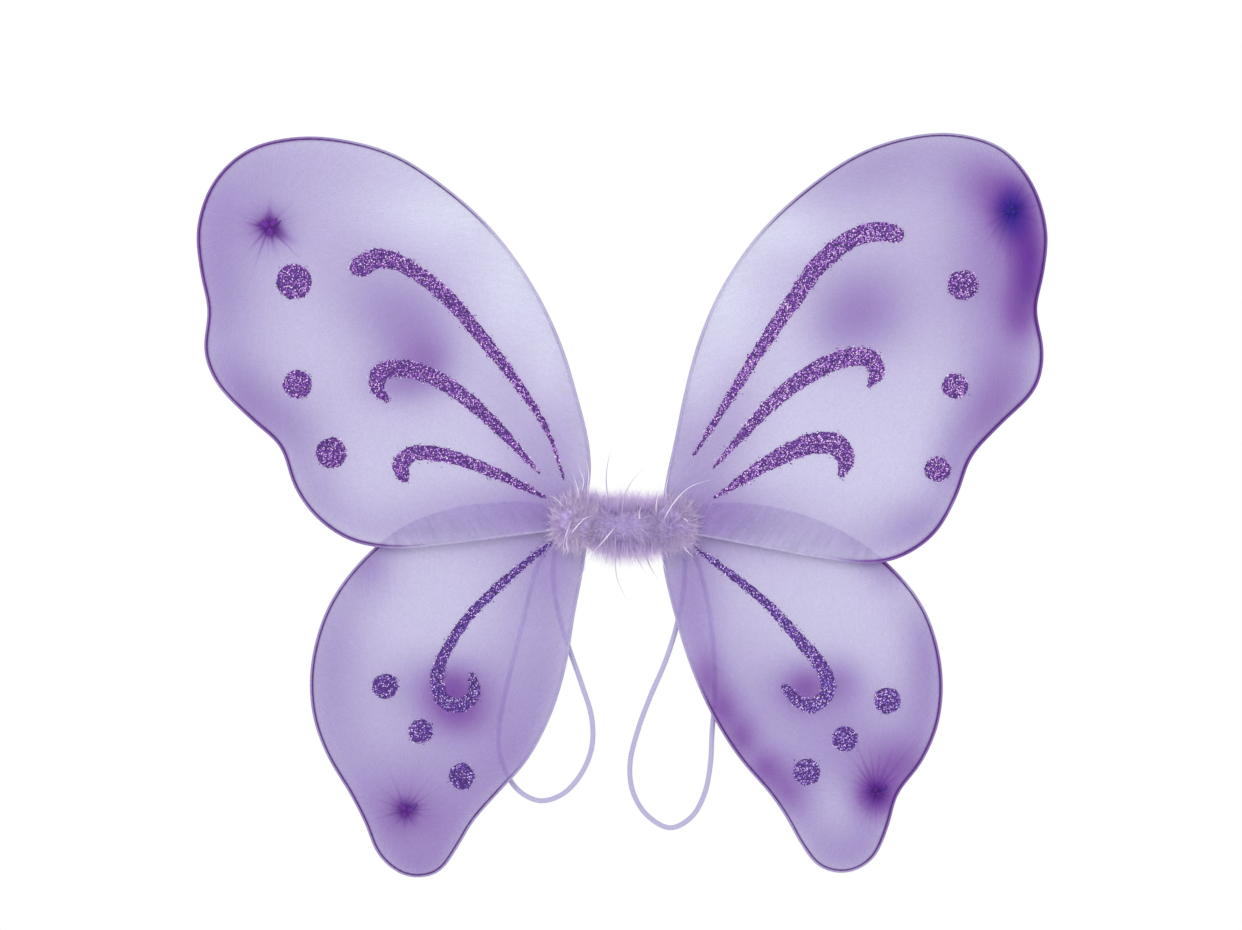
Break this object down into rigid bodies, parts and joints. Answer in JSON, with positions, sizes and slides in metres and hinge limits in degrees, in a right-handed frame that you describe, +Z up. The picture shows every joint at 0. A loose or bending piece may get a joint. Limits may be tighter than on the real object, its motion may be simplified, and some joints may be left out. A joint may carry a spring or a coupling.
{
  "type": "fairy wings",
  "caption": "Fairy wings of sheer gauze stretched on bent wire loops, with raised glitter marks, a feather-trimmed middle and elastic arm loops.",
  "frame": {"origin": "middle of the feather trim's back, where it rests between the wearer's shoulder blades; the wires' core line runs 11 mm in front of it", "axes": "+X across the wings, +Z up as worn, +Y out of the trim's back towards the wearer"},
  "size_m": [0.4817, 0.0381, 0.425],
  "materials": {
    "gauze": "sheer stretched nylon, airbrushed violet",
    "dark_gauze": "sheer nylon gathered tight and dyed dark",
    "glitter": "clear glue full of violet and silver flakes",
    "wire": "lacquered steel wire, satin",
    "thread": "twisted polyester thread",
    "binding_tape": "woven adhesive tape",
    "marabou": "soft dyed down with pale tips",
    "elastic": "round braided elastic cord"
  },
  "bodies": {
    "root": {"centre_wires": "wire", "centre_tape": "binding_tape", "marabou_string": "thread", "marabou_wrap": "marabou", "left_strap_tie": "elastic", "right_strap_tie": "elastic"},
    "upper_left_wing": {"upper_left_frame": "wire", "upper_left_cover": "gauze", "upper_left_gather": "dark_gauze", "upper_left_gather_tie": "thread", "upper_left_root_tie": "thread", "upper_left_long_stroke": "glitter", "upper_left_middle_stroke": "glitter", "upper_left_short_stroke": "glitter", "upper_left_dots": "glitter", "marabou_tuft_left": "marabou"},
    "upper_right_wing": {"upper_right_frame": "wire", "upper_right_cover": "gauze", "upper_right_gather": "dark_gauze", "upper_right_gather_tie": "thread", "upper_right_root_tie": "thread", "upper_right_long_stroke": "glitter", "upper_right_middle_stroke": "glitter", "upper_right_short_stroke": "glitter", "upper_right_dots": "glitter", "marabou_tuft_right": "marabou"},
    "lower_left_wing": {"lower_left_frame": "wire", "lower_left_cover": "gauze", "lower_left_gather": "dark_gauze", "lower_left_gather_tie": "thread", "lower_left_root_tie": "thread", "lower_left_stroke": "glitter", "lower_left_dots": "glitter"},
    "lower_right_wing": {"lower_right_frame": "wire", "lower_right_cover": "gauze", "lower_right_gather": "dark_gauze", "lower_right_gather_tie": "thread", "lower_right_root_tie": "thread", "lower_right_stroke": "glitter", "lower_right_dots": "glitter"},
    "left_arm_loop": {"left_strap": "elastic"},
    "right_arm_loop": {"right_strap": "elastic"}
  },
  "joints": [
    {"name": "lower_left_fold", "type": "hinge", "parent": "root", "child": "lower_left_wing", "pos_m": [-0.015, -0.011, 0], "axis": [0, 0, 1], "range_deg": [0, 55]},
    {"name": "upper_left_fold", "type": "hinge", "parent": "lower_left_wing", "child": "upper_left_wing", "pos_m": [-0.015, -0.011, 0], "axis": [0, 0, 1], "range_deg": [0, 25]},
    {"name": "lower_right_fold", "type": "hinge", "parent": "root", "child": "lower_right_wing", "pos_m": [0.015, -0.011, 0], "axis": [0, 0, -1], "range_deg": [0, 55]},
    {"name": "upper_right_fold", "type": "hinge", "parent": "lower_right_wing", "child": "upper_right_wing", "pos_m": [0.015, -0.011, 0], "axis": [0, 0, -1], "range_deg": [0, 25]},
    {"name": "left_loop_swing", "type": "hinge", "parent": "root", "child": "left_arm_loop", "pos_m": [-0.0415, -0.003, -0.01], "axis": [1, 0, 0], "range_deg": [0, 80]},
    {"name": "right_loop_swing", "type": "hinge", "parent": "root", "child": "right_arm_loop", "pos_m": [0.037, -0.003, -0.01], "axis": [1, 0, 0], "range_deg": [0, 80]}
  ]
}
